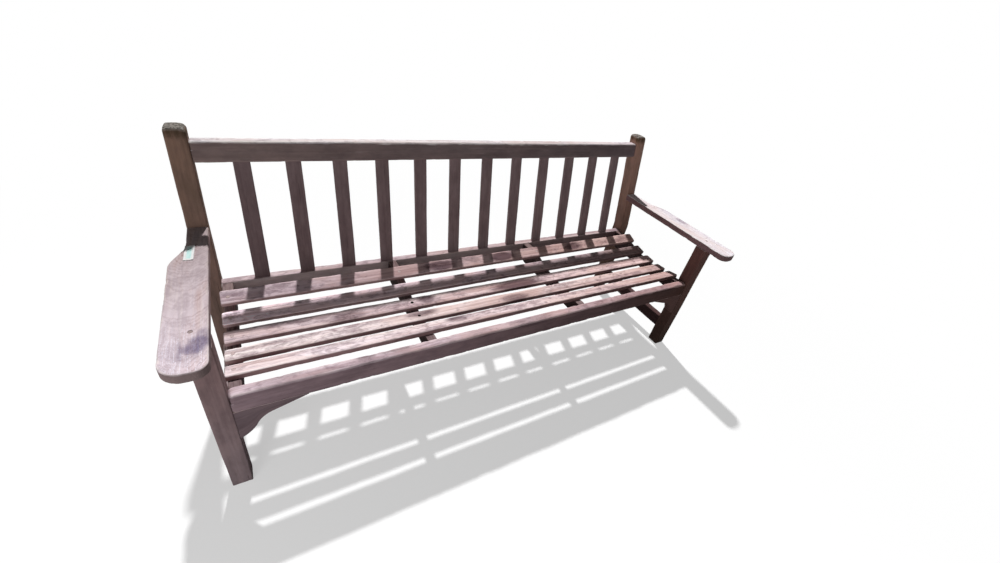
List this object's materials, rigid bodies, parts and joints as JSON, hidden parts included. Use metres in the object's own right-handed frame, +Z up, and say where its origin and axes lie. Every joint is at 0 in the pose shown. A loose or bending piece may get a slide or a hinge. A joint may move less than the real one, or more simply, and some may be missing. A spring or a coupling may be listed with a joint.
{
  "type": "garden bench",
  "caption": "Long slatted teak garden bench with a dished seat, a raked slatted back, shaped arms and corner brackets under the front rail.",
  "frame": {"origin": "on the floor, under the middle of the bench's outer box", "axes": "+X along the bench to the right as seen from in front, +Y from the seat's front to the back, +Z up"},
  "size_m": [2.082, 0.7622, 0.915],
  "materials": {
    "teak_frame": "weathered, grey-brown, matt",
    "teak_seat": "weathered, silvered and mottled, matt",
    "teak_back": "weathered, brown, matt",
    "teak_arm": "weathered, silvered, matt",
    "teak_post": "weathered, brown with lichen on the end grain, matt",
    "teak_plug": "weathered end plug, matt",
    "dowel_wood": "plain turned dowel",
    "screw_brass": "dull brass"
  },
  "bodies": {
    "root": {"arm_left": "teak_arm", "arm_plugs": "teak_plug", "arm_right": "teak_arm", "arm_screws": "screw_brass", "back_slat_01": "teak_back", "back_slat_02": "teak_back", "back_slat_03": "teak_back", "back_slat_04": "teak_back", "back_slat_05": "teak_back", "back_slat_06": "teak_back", "back_slat_07": "teak_back", "back_slat_08": "teak_back", "back_slat_09": "teak_back", "back_slat_10": "teak_back", "back_slat_11": "teak_back", "back_slat_12": "teak_back", "bracket_dowels": "dowel_wood", "corner_bracket_left": "teak_frame", "corner_bracket_right": "teak_frame", "end_bearer_left": "teak_frame", "end_bearer_right": "teak_frame", "front_leg_left": "teak_frame", "front_leg_right": "teak_frame", "front_rail": "teak_frame", "lower_back_rail": "teak_frame", "middle_bearer_left": "teak_frame", "middle_bearer_right": "teak_frame", "rear_post_left": "teak_post", "rear_post_right": "teak_post", "seat_plugs": "teak_plug", "seat_screws": "screw_brass", "seat_slat_1": "teak_seat", "seat_slat_2": "teak_seat", "seat_slat_3": "teak_seat", "seat_slat_4": "teak_seat", "seat_slat_5": "teak_seat", "side_stretcher_left": "teak_frame", "side_stretcher_right": "teak_frame", "top_rail": "teak_frame"}
  },
  "joints": []
}
